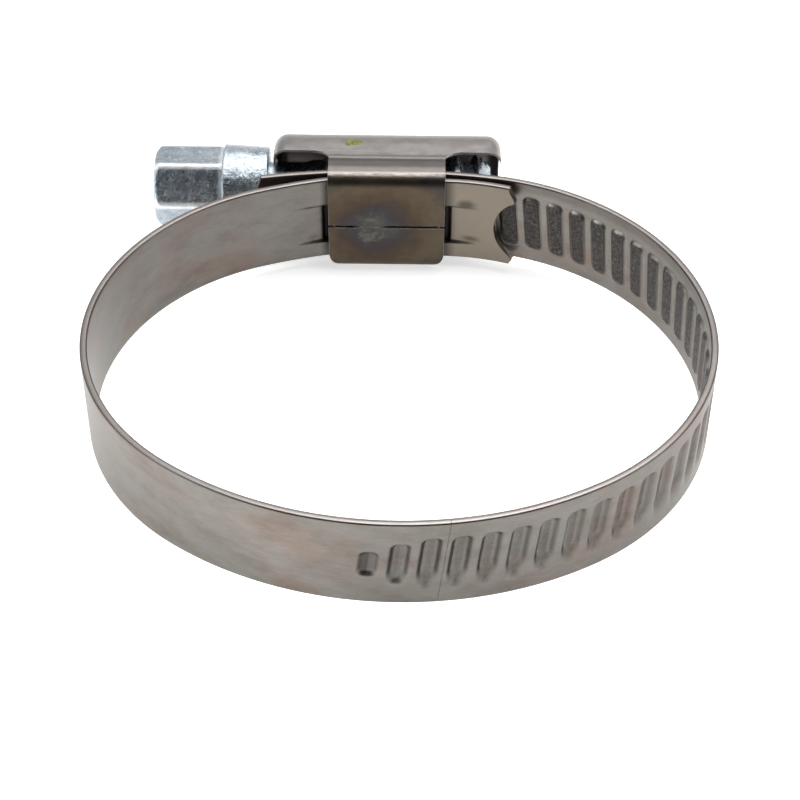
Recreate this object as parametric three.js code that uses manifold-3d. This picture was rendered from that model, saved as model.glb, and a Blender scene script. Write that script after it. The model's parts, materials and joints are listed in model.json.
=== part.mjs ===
// A worm-drive hose clamp with a 9 mm pressed-thread band, opened to about 50 mm.
// Millimetres. +Z is the axis of the hose, +X runs along the screw away from its head,
// and +Y points from the hose to the housing. The origin is the middle of the underside.
//
// The real band is one springy strip. Here it is cut into short stretches, each a rigid
// link, so that the loop can tighten: the anchor end stays in the housing, the worm track
// slides through it, and the stretches between them turn on each other.

import * as THREE from 'three';
import { mergeVertices } from 'three/addons/utils/BufferGeometryUtils.js';
import Module from 'manifold-3d';

const wasm = await Module();
wasm.setup();

// ---------------------------------------------------------------- driving dimensions
const BAND_WIDTH = 9;
const BAND_THICKNESS = 0.65;
const PITCH = 2.42; // of the worm and of the band's pressed thread

// The loop in plan, in housing coordinates: x = 0 is the housing's middle and y = 0 is
// the middle of the anchor strip's thickness.
const ANCHOR_HALF_LENGTH = 5.1; // the straight part of the anchor strip, in the housing
const ANCHOR_TAIL = 7.5; // the anchor end, past the straight part on the right
const ANCHOR_TAIL_RADIUS = 21;
const BEND_RADIUS = 5; // the sharp bend where the strip leaves the housing on the left
const BEND_TURN = rad(14);
const SLACK_RADIUS = 50; // the flatter stretch after that bend
const SLACK_LENGTH = 6;
const LEFT_RADIUS = 21.6;
const LEFT_TURN = rad(121.7);
const FRONT_RADIUS = 31.4;
const TRACK_LIFT = 1.45; // from the anchor strip up to the worm track, at the housing
const TRACK_RADIUS = 60; // gentle curve that the worm track slides along
const TRACK_LEFT_X = -12.9; // tip of the band's free end
const TRACK_RIGHT_X = 10; // where the worm track ends and the loop's right side starts
const LINKS_PER_SIDE = 4;
const ANCHOR_JOINT_DISTANCE = 11.2; // along the strip, housing's middle to first flexing place
const JOINT_GAP = 0.12; // between one stretch and the next
const OPEN_JOINT_GAP = 0.25; // where the loop is left open for the linkage

// The pressed thread
const TOOTH_LENGTH = 5.5; // across the band
const TOOTH_WIDTH = 1.4; // along the band
const TOOTH_TAPER = 0.3;
const TOOTH_DEPTH = 0.75; // of the groove, from the band's outer face
const RIDGE_HEIGHT = 0.35; // of the same tooth, standing up inside
const FULL_TEETH = 38;
const FIRST_TOOTH_SHARES = [0.45, 0.8]; // length of the two run-in teeth

// The screw
const HEX_ACROSS_FLATS = 7;
const HEX_LENGTH = 6.7;
const HEX_CHAMFER = 0.75;
const HEX_TURN = rad(24.5); // of the hexagon about the screw's axis, at rest
const COLLAR_RADIUS = 4.18;
const COLLAR_TAPER = 0.25;
const COLLAR_BREAK = 0.15; // its broken edges
const COLLAR_LENGTH = 4.4;
const HEAD_RIGHT_X = -11.62;
const NECK_RADIUS = 2.5;
const CORE_RADIUS = 2.7;
const THREAD_RADIUS = 3.5;
const THREAD_ENGAGEMENT = 0.5; // of the crest below the band's outer face
const THREAD_LEFT_X = -7.4;
const THREAD_RIGHT_X = 10.1;
const CREST_WIDTH = 0.5;
const ROOT_WIDTH = 1.35;

// The housing, a single bent sheet
const SHEET = 0.8;
const HOUSING_LENGTH = 22.2;
const WAIST_LENGTH = 11.2;
const SIDE_CLEARANCE = 0.15;
const FACE_CLEARANCE = 0.12;
const DOME_CLEARANCE = 0.9;
const FOLD_RADIUS = 1.2;
const LEFT_LINE_DROP = 1.1; // dome's lower edge below the screw's axis, left of the waist
const RIGHT_LINE_DROP = 1.2; // and right of it
const SEAM_Z = -0.3;
const SEAM_GAP = 0.1;
const FILLET_RADIUS = 1.5;

// ---------------------------------------------------------------- derived dimensions
const HALF_WIDTH = BAND_WIDTH / 2;
const HALF_THICKNESS = BAND_THICKNESS / 2;
const SCREW_Y = TRACK_LIFT + HALF_THICKNESS - THREAD_ENGAGEMENT + THREAD_RADIUS;
const LEAD_ANGLE = Math.atan(PITCH / (2 * Math.PI * THREAD_RADIUS));

function rad(degrees) {
  return (degrees * Math.PI) / 180;
}

// ---------------------------------------------------------------- solids
function solidOf(geometry) {
  const bare = geometry.index ? geometry.toNonIndexed() : geometry.clone();
  bare.deleteAttribute('normal');
  bare.deleteAttribute('uv');
  const merged = mergeVertices(bare, 1e-5);
  return new wasm.Manifold(
    new wasm.Mesh({
      numProp: 3,
      vertProperties: merged.attributes.position.array,
      triVerts: new Uint32Array(merged.index.array),
    }),
  );
}

function geometryOf(solid) {
  const mesh = solid.getMesh();
  const geometry = new THREE.BufferGeometry();
  geometry.setAttribute('position', new THREE.BufferAttribute(mesh.vertProperties, 3));
  geometry.setIndex(new THREE.BufferAttribute(mesh.triVerts, 1));
  geometry.computeVertexNormals();
  return geometry;
}

// A prism of a plan outline, standing on z = low.
function prism(points, low, high) {
  const shape = new THREE.Shape(points);
  const geometry = new THREE.ExtrudeGeometry(shape, {
    depth: high - low,
    bevelEnabled: false,
    curveSegments: 8,
  });
  return solidOf(geometry.translate(0, 0, low));
}

// A block from its lowest to its highest corner.
function block(low, high) {
  const size = high.map((v, i) => v - low[i]);
  const geometry = new THREE.BoxGeometry(...size);
  return solidOf(geometry.translate(...high.map((v, i) => (v + low[i]) / 2)));
}

// Points on an arc, from one angle to another.
function arcPoints(cx, cy, radius, from, to, steps) {
  return Array.from({ length: steps + 1 }, (_, i) => {
    const angle = from + ((to - from) * i) / steps;
    return new THREE.Vector2(cx + radius * Math.cos(angle), cy + radius * Math.sin(angle));
  });
}

// ---------------------------------------------------------------- the band's path
// The strip's centreline is a chain of stretches of constant curvature that turn left,
// from the anchor end on the right of the housing, round the loop, to the free end.
function bandPath() {
  const tailTurn = ANCHOR_TAIL / ANCHOR_TAIL_RADIUS;
  const tip = {
    x: ANCHOR_HALF_LENGTH + ANCHOR_TAIL_RADIUS * Math.sin(tailTurn),
    y: -ANCHOR_TAIL_RADIUS * (1 - Math.cos(tailTurn)),
    heading: Math.PI - tailTurn,
    s: 0,
  };
  const starts = [];
  let here = tip;
  const add = (length, curvature) => {
    starts.push({ ...here, curvature });
    here = { ...advance({ ...here, curvature }, length), s: here.s + length };
  };
  add(ANCHOR_TAIL, 1 / ANCHOR_TAIL_RADIUS);
  add(2 * ANCHOR_HALF_LENGTH, 0);
  add(BEND_RADIUS * BEND_TURN, 1 / BEND_RADIUS);
  add(SLACK_LENGTH, 1 / SLACK_RADIUS);
  add(LEFT_RADIUS * LEFT_TURN, 1 / LEFT_RADIUS);

  // The front arc starts here, and its centre lies to the left of the heading.
  const frontStart = BEND_TURN + SLACK_LENGTH / SLACK_RADIUS + LEFT_TURN;
  const frontCentre = new THREE.Vector2(
    here.x + FRONT_RADIUS * Math.sin(frontStart),
    here.y - FRONT_RADIUS * Math.cos(frontStart),
  );
  const trackCentre = new THREE.Vector2(0, TRACK_LIFT - TRACK_RADIUS);
  const trackTurn = Math.asin(TRACK_RIGHT_X / TRACK_RADIUS);
  // The right-hand arc touches both the front arc and the worm track's arc.
  const between = frontCentre.clone().sub(trackCentre);
  const outward = new THREE.Vector2(Math.sin(trackTurn), Math.cos(trackTurn));
  const along = between.dot(outward);
  const rightRadius =
    (FRONT_RADIUS ** 2 - TRACK_RADIUS ** 2 - between.lengthSq() + 2 * TRACK_RADIUS * along) /
    (2 * (along - TRACK_RADIUS + FRONT_RADIUS));
  const rightCentre = trackCentre.clone().addScaledVector(outward, TRACK_RADIUS - rightRadius);
  const toRight = rightCentre.clone().sub(frontCentre);
  const rightEnd = Math.atan2(toRight.x, toRight.y); // from +Y, clockwise
  add(FRONT_RADIUS * (2 * Math.PI - frontStart - rightEnd), 1 / FRONT_RADIUS);
  add(rightRadius * (rightEnd - trackTurn), 1 / rightRadius);
  const trackStart = here.s;
  const freeEndTurn = Math.asin(-TRACK_LEFT_X / TRACK_RADIUS);
  add(TRACK_RADIUS * (trackTurn + freeEndTurn), 1 / TRACK_RADIUS);
  return { starts, length: here.s, trackStart, tipX: tip.x };
}

// The place and heading a distance along a stretch of constant curvature.
function advance(start, distance) {
  const { x, y, heading, curvature } = start;
  const turned = heading + curvature * distance;
  if (curvature === 0) {
    return {
      x: x + distance * Math.cos(heading),
      y: y + distance * Math.sin(heading),
      heading,
    };
  }
  return {
    x: x + (Math.sin(turned) - Math.sin(heading)) / curvature,
    y: y - (Math.cos(turned) - Math.cos(heading)) / curvature,
    heading: turned,
  };
}

const path = bandPath();

// The place, the heading and the outward direction at a distance along the band.
function bandAt(s) {
  const start = path.starts.findLast((st) => s >= st.s - 1e-9) ?? path.starts[0];
  const at = advance(start, s - start.s);
  return { ...at, outX: Math.sin(at.heading), outY: -Math.cos(at.heading) };
}

function bandPoint(s, outward) {
  const at = bandAt(s);
  return new THREE.Vector2(at.x + at.outX * outward, at.y + at.outY * outward);
}

// A plain stretch of the strip between two distances along the band.
function strip(from, to, step = 1.4) {
  const breaks = path.starts.map((st) => st.s).filter((s) => s > from + 0.05 && s < to - 0.05);
  const knots = [from, ...breaks, to];
  const stations = [from];
  for (let k = 1; k < knots.length; k++) {
    const start = path.starts.findLast((st) => knots[k - 1] >= st.s - 1e-9);
    const span = knots[k] - knots[k - 1];
    const count = start.curvature === 0 ? 1 : Math.ceil(span / step);
    for (let i = 1; i <= count; i++) stations.push(knots[k - 1] + (span * i) / count);
  }
  const outer = stations.map((s) => bandPoint(s, HALF_THICKNESS));
  const inner = stations.map((s) => bandPoint(s, -HALF_THICKNESS)).reverse();
  return prism([...outer, ...inner].reverse(), -HALF_WIDTH, HALF_WIDTH);
}

// ---------------------------------------------------------------- the pressed thread
// Distance along the band of each tooth. The teeth at the housing line up with the worm.
const housingMiddle = path.length - TRACK_RADIUS * Math.asin(-TRACK_LEFT_X / TRACK_RADIUS);
const TEETH_PAST_MIDDLE = 4; // between the housing's middle and the free end
const lastTooth = housingMiddle + TEETH_PAST_MIDDLE * PITCH;
const teeth = Array.from({ length: FULL_TEETH + FIRST_TOOTH_SHARES.length }, (_, i) => {
  const fromEnd = FULL_TEETH + FIRST_TOOTH_SHARES.length - 1 - i;
  return { s: lastTooth - fromEnd * PITCH, share: FIRST_TOOTH_SHARES[i] ?? 1 };
});

// A slot-shaped plug, widest at its own middle plane and tapering both ways. It runs
// along z, leans by the lead angle, and tapers along its local y.
function toothPlug(share, depth, grow) {
  const halfLength = (TOOTH_LENGTH * share) / 2 - TOOTH_TAPER + grow;
  const halfWidth = TOOTH_WIDTH / 2 - TOOTH_TAPER + grow;
  const corner = halfWidth * 0.8;
  const outline = [
    [halfWidth, halfLength - corner],
    [halfWidth - corner, halfLength],
    [corner - halfWidth, halfLength],
    [-halfWidth, halfLength - corner],
    [-halfWidth, corner - halfLength],
    [corner - halfWidth, -halfLength],
    [halfWidth - corner, -halfLength],
    [halfWidth, corner - halfLength],
  ].map(([x, y]) => new THREE.Vector2(x, y));
  const geometry = new THREE.ExtrudeGeometry(new THREE.Shape(outline), {
    depth: 0.02,
    bevelThickness: depth * (0.4 + 0.6 * share),
    bevelSize: TOOTH_TAPER,
    bevelSegments: 1,
  });
  return geometry.translate(0, 0, -0.01).rotateZ(LEAD_ANGLE).rotateX(Math.PI / 2);
}

function toothSolid(tooth, depth, grow, outward) {
  const at = bandAt(tooth.s);
  const geometry = toothPlug(tooth.share, depth, grow);
  // Local +x follows the heading reversed, so that local +y points away from the hose.
  geometry.rotateZ(at.heading - Math.PI);
  geometry.translate(at.x + at.outX * outward, at.y + at.outY * outward, 0);
  return solidOf(geometry);
}

function toothedStrip(from, to) {
  const margin = TOOTH_WIDTH / 2 + 0.15;
  const here = teeth.filter((t) => t.s > from + margin && t.s < to - margin);
  const ridges = here.map((t) => toothSolid(t, RIDGE_HEIGHT, 0.12, -HALF_THICKNESS));
  const grooves = here.map((t) => toothSolid(t, TOOTH_DEPTH, 0, HALF_THICKNESS));
  const raised = ridges.reduce((sum, ridge) => sum.add(ridge), strip(from, to));
  return grooves.reduce((sum, groove) => sum.subtract(groove), raised);
}

// ---------------------------------------------------------------- stretches of the loop
// The loop between the housing's left side and the worm track, cut into equal links.
// Links end between two teeth wherever the band is threaded.
const anchorMiddle = ANCHOR_TAIL + ANCHOR_HALF_LENGTH; // distance along to x = 0
const loopStart = anchorMiddle + ANCHOR_JOINT_DISTANCE;
const loopEnd = path.trackStart;
const linkEnds = (() => {
  const count = 2 * LINKS_PER_SIDE;
  const even = Array.from({ length: count + 1 }, (_, i) => {
    return loopStart + ((loopEnd - loopStart) * i) / count;
  });
  const betweenTeeth = (s) => {
    const steps = Math.round((s - teeth[0].s) / PITCH - 0.5);
    return teeth[0].s + (steps + 0.5) * PITCH;
  };
  return even.map((s, i) => (i >= LINKS_PER_SIDE ? betweenTeeth(s) : s));
})();

// ---------------------------------------------------------------- the anchor end
const NOTCH_DEPTH = 2.1;
const NOTCH_HALF_WIDTH = 3.3;
const TIP_CHAMFER = 0.7;
const LUG_LENGTH = 3.4;
const LUG_WIDTH = 3.4;
const LUG_DEPTH = 0.35;
const LUG_SLIT = 0.55;

// The end of the strip seen from the hose: two tips with a round bite between them.
function anchorEndCutter() {
  const radius = (NOTCH_HALF_WIDTH ** 2 + NOTCH_DEPTH ** 2) / (2 * NOTCH_DEPTH);
  const centre = path.tipX - NOTCH_DEPTH + radius;
  const half = Math.asin(NOTCH_HALF_WIDTH / radius);
  const bite = arcPoints(centre, 0, radius, Math.PI - half, Math.PI + half, 8);
  const shoulder = path.tipX - TIP_CHAMFER;
  const far = path.tipX + 2;
  const outline = [
    new THREE.Vector2(far, HALF_WIDTH + 1),
    new THREE.Vector2(shoulder, HALF_WIDTH + 1),
    new THREE.Vector2(shoulder, HALF_WIDTH),
    ...bite,
    new THREE.Vector2(shoulder, -HALF_WIDTH),
    new THREE.Vector2(shoulder, -HALF_WIDTH - 1),
    new THREE.Vector2(far, -HALF_WIDTH - 1),
  ];
  const geometry = new THREE.ExtrudeGeometry(new THREE.Shape(outline), {
    depth: 4,
    bevelEnabled: false,
  });
  return solidOf(geometry.rotateX(Math.PI / 2).translate(0, 2, 0));
}

// A pressed lug beside the housing: the hose side of the strip ramps down to a slit that
// runs along the housing's flap.
function lugCutters(side) {
  const slit = anchorMiddle - (side * WAIST_LENGTH) / 2;
  const face = slit - side * LUG_SLIT;
  const root = face - side * LUG_LENGTH;
  const hole = [
    bandPoint(slit, -BAND_THICKNESS),
    bandPoint(slit, BAND_THICKNESS),
    bandPoint(face, BAND_THICKNESS),
    bandPoint(face, -BAND_THICKNESS),
  ];
  const ramp = [
    bandPoint(face + side * 0.1, -BAND_THICKNESS),
    bandPoint(face + side * 0.1, LUG_DEPTH - HALF_THICKNESS),
    bandPoint(face, LUG_DEPTH - HALF_THICKNESS),
    bandPoint(root, -HALF_THICKNESS),
    bandPoint(root, -BAND_THICKNESS),
  ];
  const order = (points) => (side > 0 ? points : [...points].reverse());
  const half = LUG_WIDTH / 2;
  return [prism(order(hole), -half, half), prism(order(ramp), -half, half)];
}

function anchorEnd() {
  const plain = strip(0, loopStart - JOINT_GAP / 2).subtract(anchorEndCutter());
  const cutters = [...lugCutters(-1), ...lugCutters(1)];
  return cutters.reduce((solid, cutter) => solid.subtract(cutter), plain);
}

// ---------------------------------------------------------------- the worm track
// The free end is a round tongue, the shape that the anchor end's bite leaves.
function freeEndCutter() {
  const tip = TRACK_LEFT_X;
  const radius = HALF_WIDTH + 1.2;
  const nose = arcPoints(tip + radius, 0, radius, Math.PI * 0.7, Math.PI * 1.3, 10);
  const outline = [
    new THREE.Vector2(tip - 2, HALF_WIDTH + 1),
    ...nose.map((p) => new THREE.Vector2(p.x, p.y)),
    new THREE.Vector2(tip - 2, -HALF_WIDTH - 1),
  ];
  outline.splice(1, 0, new THREE.Vector2(nose[0].x, HALF_WIDTH + 1));
  outline.splice(-1, 0, new THREE.Vector2(nose.at(-1).x, -HALF_WIDTH - 1));
  const geometry = new THREE.ExtrudeGeometry(new THREE.Shape(outline.reverse()), {
    depth: 8,
    bevelEnabled: false,
  });
  return solidOf(geometry.rotateX(Math.PI / 2).translate(0, 4, 0));
}

function wormTrack() {
  return toothedStrip(linkEnds.at(-1) + JOINT_GAP / 2, path.length).subtract(freeEndCutter());
}

// ---------------------------------------------------------------- the screw
// A profile of [distance along the screw, radius] turned about the screw's own axis.
function turned(profile, segments = 24) {
  const points = profile.map(([x, r]) => new THREE.Vector2(r, x));
  const geometry = new THREE.LatheGeometry(points, segments);
  return solidOf(geometry.rotateZ(-Math.PI / 2));
}

function hexHead() {
  const cornerRadius = HEX_ACROSS_FLATS / 2 / Math.cos(Math.PI / 6);
  const left = HEAD_RIGHT_X - COLLAR_LENGTH - HEX_LENGTH;
  const right = HEAD_RIGHT_X - COLLAR_LENGTH + 0.3;
  const prismGeometry = new THREE.CylinderGeometry(cornerRadius, cornerRadius, right - left, 6);
  prismGeometry.rotateZ(-Math.PI / 2).rotateX(HEX_TURN).translate((left + right) / 2, 0, 0);
  const envelope = turned([
    [left, 0],
    [left, cornerRadius - HEX_CHAMFER],
    [left + HEX_CHAMFER * 0.7, cornerRadius + 0.05],
    [right - HEX_CHAMFER, cornerRadius + 0.05],
    [right, cornerRadius - HEX_CHAMFER / 2],
    [right, 0],
  ]);
  return solidOf(prismGeometry).intersect(envelope);
}

function screwBody() {
  const collarLeft = HEAD_RIGHT_X - COLLAR_LENGTH;
  return turned([
    [collarLeft, 0],
    [collarLeft, COLLAR_RADIUS - COLLAR_BREAK],
    [collarLeft + COLLAR_BREAK, COLLAR_RADIUS],
    [HEAD_RIGHT_X - COLLAR_BREAK, COLLAR_RADIUS - COLLAR_TAPER],
    [HEAD_RIGHT_X, COLLAR_RADIUS - COLLAR_TAPER - COLLAR_BREAK],
    [HEAD_RIGHT_X, NECK_RADIUS],
    [THREAD_LEFT_X - 0.6, NECK_RADIUS],
    [THREAD_LEFT_X, CORE_RADIUS],
    [THREAD_RIGHT_X - 0.5, CORE_RADIUS],
    [THREAD_RIGHT_X, CORE_RADIUS - 0.5],
    [THREAD_RIGHT_X, 0],
  ]);
}

// The right-hand thread: a bar of trapezoid section, wound round the core.
// A crest passes the band side (-Y) at the housing's middle, where a groove lies.
function wormThread() {
  const sunk = 0.3;
  const profile = new THREE.Shape([
    new THREE.Vector2(-ROOT_WIDTH / 2, CORE_RADIUS - sunk),
    new THREE.Vector2(ROOT_WIDTH / 2, CORE_RADIUS - sunk),
    new THREE.Vector2(ROOT_WIDTH / 2, CORE_RADIUS),
    new THREE.Vector2(CREST_WIDTH / 2, THREAD_RADIUS),
    new THREE.Vector2(-CREST_WIDTH / 2, THREAD_RADIUS),
    new THREE.Vector2(-ROOT_WIDTH / 2, CORE_RADIUS),
  ]);
  const left = THREAD_LEFT_X + ROOT_WIDTH / 2;
  const right = THREAD_RIGHT_X - ROOT_WIDTH / 2;
  const turns = (right - left) / PITCH;
  const geometry = new THREE.ExtrudeGeometry(profile, {
    depth: 1,
    steps: Math.round(turns * 20),
    bevelEnabled: false,
  });
  const position = geometry.attributes.position;
  for (let i = 0; i < position.count; i++) {
    const share = position.getZ(i);
    const along = left + share * turns * PITCH;
    const angle = Math.PI + (along / PITCH) * 2 * Math.PI;
    const fade = Math.min(1, share * turns * 3, (1 - share) * turns * 3);
    const full = position.getY(i);
    const radius = full > CORE_RADIUS ? CORE_RADIUS - 0.1 + (full - CORE_RADIUS + 0.1) * fade : full;
    const x = along + position.getX(i);
    position.setXYZ(i, x, radius * Math.cos(angle), radius * Math.sin(angle));
  }
  return solidOf(geometry);
}

function wormScrew() {
  return screwBody().add(hexHead()).add(wormThread());
}

// ---------------------------------------------------------------- the housing
// The sheet's section across the screw, in (y, z): a dome over the worm, a shoulder
// beside the band, a fold round each edge of the band, and two flaps that meet in a
// seam under it. Offset 0 is the sheet's outer face, and SHEET its inner face.
function housingSide(offset, sign) {
  const domeRadius = THREAD_RADIUS + DOME_CLEARANCE + SHEET - offset;
  const wall = HALF_WIDTH + SIDE_CLEARANCE + SHEET - offset;
  const face = -HALF_THICKNESS - FACE_CLEARANCE - SHEET + offset;
  const fold = FOLD_RADIUS - offset;
  const foldY = face + fold;
  const shoulderY = TRACK_LIFT + HALF_THICKNESS + 0.25;
  const dome = arcPoints(SCREW_Y, 0, domeRadius, 0, Math.PI / 2, 8);
  const corner = arcPoints(foldY, wall - fold, fold, Math.PI / 2, Math.PI, 4);
  const seam = SEAM_Z + (sign * SEAM_GAP) / 2;
  return [
    ...dome,
    new THREE.Vector2(shoulderY + 0.75, domeRadius),
    new THREE.Vector2(shoulderY, wall),
    ...corner,
    new THREE.Vector2(face, sign * seam),
  ].map((p) => new THREE.Vector2(p.x, sign * p.y));
}

function housingShell() {
  const outer = [...housingSide(0, 1).reverse(), ...housingSide(0, -1).slice(1)];
  const inner = [...housingSide(SHEET, 1).reverse(), ...housingSide(SHEET, -1).slice(1)];
  const outline = [...outer, ...inner.reverse()];
  const geometry = new THREE.ExtrudeGeometry(new THREE.Shape(outline), {
    depth: HOUSING_LENGTH,
    bevelEnabled: false,
  });
  geometry.applyMatrix4(
    new THREE.Matrix4().makeBasis(
      new THREE.Vector3(0, 1, 0),
      new THREE.Vector3(0, 0, 1),
      new THREE.Vector3(1, 0, 0),
    ),
  );
  return solidOf(geometry.translate(-HOUSING_LENGTH / 2, 0, 0));
}

// What the sheet's blank leaves out beside the waist, in plan, on one side.
// lineY is where the dome's lower edge runs.
function waistCutter(side, lineY) {
  const waist = WAIST_LENGTH / 2;
  const end = HOUSING_LENGTH / 2 + 1;
  const fillet = arcPoints(
    waist + FILLET_RADIUS,
    lineY - FILLET_RADIUS,
    FILLET_RADIUS,
    Math.PI,
    Math.PI / 2,
    6,
  );
  const outline = [
    new THREE.Vector2(waist, -4),
    ...fillet,
    new THREE.Vector2(end, lineY),
    new THREE.Vector2(end, -4),
  ].map((p) => new THREE.Vector2(side * p.x, p.y));
  return prism(side > 0 ? outline.reverse() : outline, -8, 8);
}

// The lip that each end of the dome is rolled into, round the screw's axis.
function endLip(side, innerRadius, lowestY) {
  const outer = THREAD_RADIUS + DOME_CLEARANCE + SHEET;
  const face = HOUSING_LENGTH / 2;
  const back = face - SHEET;
  const profile = [
    [back, innerRadius],
    [back, outer - SHEET - 0.05],
    [back, outer - 0.1],
    [face, outer - 0.9],
    [face, innerRadius],
    [back, innerRadius],
  ].map(([x, r]) => [side * x, r]);
  const ring = turned(side > 0 ? profile : profile.reverse(), 32).translate([0, SCREW_Y, 0]);
  return ring.subtract(block([-20, -20, -20], [20, lowestY, 20]));
}

function housing() {
  const left = waistCutter(-1, SCREW_Y - LEFT_LINE_DROP);
  const right = waistCutter(1, SCREW_Y - RIGHT_LINE_DROP);
  let shell = housingShell().subtract(left).subtract(right);
  // The dome's ends are rolled in, so the straight sheet stops short of its end faces.
  for (const side of [-1, 1]) {
    const face = (side * HOUSING_LENGTH) / 2;
    const bevel = [
      new THREE.Vector2(face + side, 20),
      new THREE.Vector2(face - side * SHEET, 20),
      new THREE.Vector2(face - side * SHEET, 0),
      new THREE.Vector2(face + side, 0),
    ];
    shell = shell.subtract(prism(side > 0 ? bevel : bevel.reverse(), -10, 10));
  }
  return shell
    .add(endLip(-1, NECK_RADIUS + 0.3, SCREW_Y - 2.4))
    .add(endLip(1, THREAD_RADIUS - 0.5, SCREW_Y - 2.2));
}

// ---------------------------------------------------------------- materials
const stainless = () =>
  new THREE.MeshStandardMaterial({ color: 0x9a948c, roughness: 0.42, metalness: 1 });
const zinc = () =>
  new THREE.MeshStandardMaterial({ color: 0xb9c6cc, roughness: 0.3, metalness: 1 });

// ---------------------------------------------------------------- assembly
const clamp = new THREE.Group();

function addPart(name, solid, material) {
  const mesh = new THREE.Mesh(geometryOf(solid), material);
  mesh.name = name;
  clamp.add(mesh);
  return mesh;
}

addPart('housing', housing(), stainless());
addPart('band_anchor_end', anchorEnd(), stainless());
const leftNames = ['band_left_rear', 'band_left_side', 'band_left_front', 'band_front_plain'];
const rightNames = ['band_front_toothed', 'band_right_front', 'band_right_side', 'band_right_rear'];
leftNames.forEach((name, i) => {
  const last = i === LINKS_PER_SIDE - 1;
  const from = linkEnds[i] + JOINT_GAP / 2;
  const to = linkEnds[i + 1] - (last ? OPEN_JOINT_GAP : JOINT_GAP) / 2;
  addPart(name, strip(from, to), stainless());
});
rightNames.forEach((name, i) => {
  const from = linkEnds[LINKS_PER_SIDE + i] + (i === 0 ? OPEN_JOINT_GAP : JOINT_GAP) / 2;
  const to = linkEnds[LINKS_PER_SIDE + i + 1] - JOINT_GAP / 2;
  addPart(name, toothedStrip(from, to), stainless());
});
addPart('band_worm_track', wormTrack(), stainless());
const screw = addPart('worm_screw', wormScrew(), zinc());
screw.position.y = SCREW_Y;

// Move the origin to the middle of the underside.
const box = new THREE.Box3().setFromObject(clamp);
const middle = box.getCenter(new THREE.Vector3());
clamp.position.set(-middle.x, -middle.y, -box.min.z);

export default clamp;
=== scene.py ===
"""Looks for the worm-drive hose clamp: rolled stainless band, bent housing, zinc-plated screw.

Sizes are in millimetres in the housing's own coordinates, as in the CAD source: x = 0 is the
housing's middle, y = 0 is the middle of the anchor strip's thickness, z = 0 is mid-height.
"""

import json
import math

import bmesh
import bpy
import numpy as np
from mathutils import Matrix, Vector


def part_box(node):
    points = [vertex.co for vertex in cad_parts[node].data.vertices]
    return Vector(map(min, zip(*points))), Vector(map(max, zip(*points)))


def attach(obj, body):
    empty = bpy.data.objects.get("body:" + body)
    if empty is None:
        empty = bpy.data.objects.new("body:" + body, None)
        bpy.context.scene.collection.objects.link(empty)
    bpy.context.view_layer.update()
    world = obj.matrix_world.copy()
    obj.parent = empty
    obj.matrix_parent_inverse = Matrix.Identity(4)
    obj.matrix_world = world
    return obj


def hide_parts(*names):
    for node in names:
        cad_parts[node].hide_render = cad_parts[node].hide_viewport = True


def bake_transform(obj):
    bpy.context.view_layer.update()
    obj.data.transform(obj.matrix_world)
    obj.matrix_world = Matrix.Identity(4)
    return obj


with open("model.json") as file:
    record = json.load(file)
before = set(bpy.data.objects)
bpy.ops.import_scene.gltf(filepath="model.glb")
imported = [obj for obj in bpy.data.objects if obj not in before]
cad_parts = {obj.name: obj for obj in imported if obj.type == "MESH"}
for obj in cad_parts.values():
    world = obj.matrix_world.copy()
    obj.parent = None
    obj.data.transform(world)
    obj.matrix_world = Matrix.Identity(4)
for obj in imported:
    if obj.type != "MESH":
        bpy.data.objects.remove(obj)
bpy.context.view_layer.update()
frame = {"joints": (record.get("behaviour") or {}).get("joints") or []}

MM = 0.001
scene = bpy.context.scene

# ------------------------------------------------------------------ driving dimensions
HALF_WIDTH = 4.5
THICKNESS = 0.65
HALF = THICKNESS / 2
EDGE_ROUND = 0.14
PITCH = 2.42

ANCHOR_HALF_LENGTH = 5.1
ANCHOR_TAIL = 7.5
ANCHOR_TAIL_RADIUS = 21
BEND_RADIUS = 5
BEND_TURN = math.radians(14)
SLACK_RADIUS = 50
SLACK_LENGTH = 6
LEFT_RADIUS = 21.6
LEFT_TURN = math.radians(121.7)
FRONT_RADIUS = 31.4
TRACK_LIFT = 1.45
TRACK_RADIUS = 60
TRACK_LEFT_X = -12.9
TRACK_RIGHT_X = 10

TOOTH_LENGTH = 5.5
TOOTH_WIDTH = 1.4
GROOVE_DEPTH = 0.6
RIDGE_HEIGHT = 0.24
FIRST_TOOTH_SHARES = (0.45, 0.8)  # the first teeth are shorter and shallower
TEETH = 40
TEETH_PAST_MIDDLE = 4
SQUARENESS = 3.0  # of a tooth's ends: 2 gives round ends, more gives square ones

NOTCH_DEPTH = 2.1
NOTCH_HALF_WIDTH = 3.3
NOTCH_Z = -0.4
TIP_CHAMFER = 0.7
FREE_END_ROUND = 0.9
LUG_LENGTH = 3.4
LUG_SLIT = 0.55
LUG_DEPTH = 0.33
LUG_Z = -0.6
LUG_HALF_WIDTH = 2.1
LUG_EDGE = 0.16
SLIT_EDGE = 0.1
SLIT_FLOOR = 0.06  # the thickness left under a slit

SHEET = 0.8
FACE_CLEARANCE = 0.12
SIDE_CLEARANCE = 0.15
HOUSING_HALF_LENGTH = 11.1
WAIST_HALF_LENGTH = 5.6
THREAD_RADIUS = 3.5
CORE_RADIUS = 2.7
NECK_RADIUS = 2.5
DOME_CLEARANCE = 0.9
THREAD_ENGAGEMENT = 0.5
SCREW_Y = TRACK_LIFT + HALF - THREAD_ENGAGEMENT + THREAD_RADIUS
LEAD = math.atan(PITCH / (2 * math.pi * THREAD_RADIUS))

# Painted shade: dark spots by the lugs' upper and lower sides, on the strip's hose side: (x, z,
# spread in z, strength).
LUG_SHADE_SPOTS = (
    (7.7, 1.9, 0.55, 0.85),
    (8.2, -2.2, 0.35, 0.7),
    (-7.6, 1.5, 0.4, 0.6),
    (-7.3, -2.2, 0.5, 0.55),
)
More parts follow.
